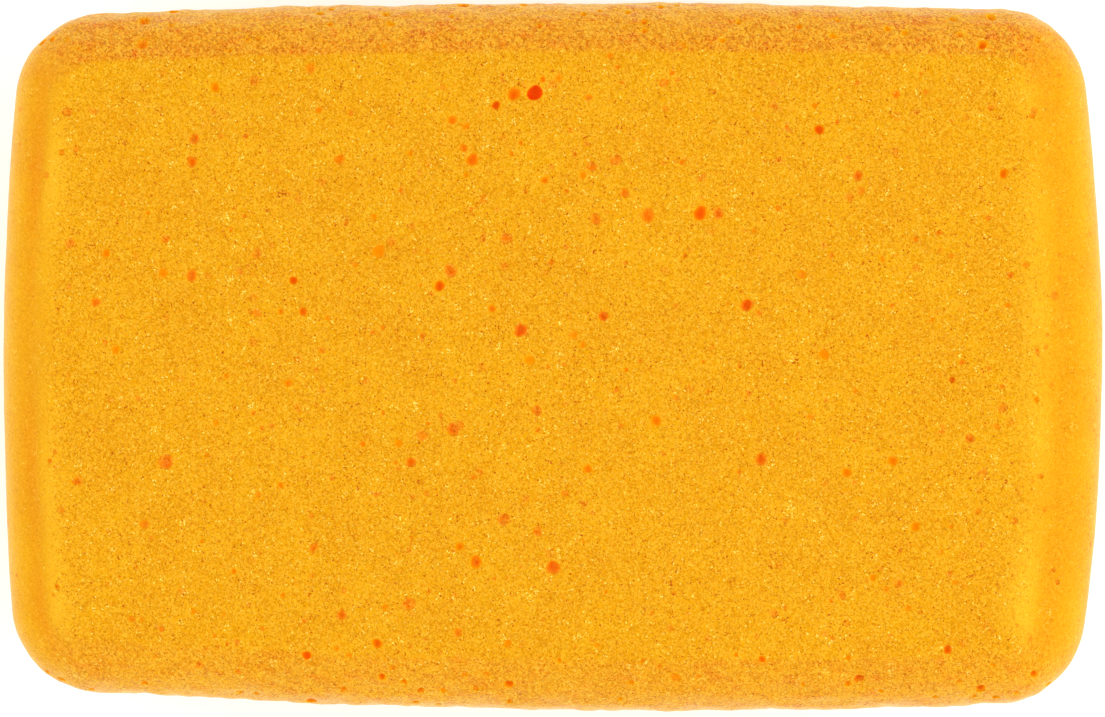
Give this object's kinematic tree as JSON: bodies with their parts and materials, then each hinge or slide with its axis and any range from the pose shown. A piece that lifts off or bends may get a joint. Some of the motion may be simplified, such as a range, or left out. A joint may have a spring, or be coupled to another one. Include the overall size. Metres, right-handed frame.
{
  "type": "grout sponge",
  "caption": "Rectangular hand sponge of open-cell foam with bowed sides and rounded edges, for wiping grout off tiles.",
  "frame": {"origin": "centre of the underside, on the surface that the sponge lies on", "axes": "+X along the sponge's length, +Y across its width, +Z through its thickness, up to the other wiping face"},
  "size_m": [0.171, 0.11, 0.055],
  "materials": {
    "foam": "matte"
  },
  "bodies": {
    "root": {"foam_block": "foam"}
  },
  "joints": []
}
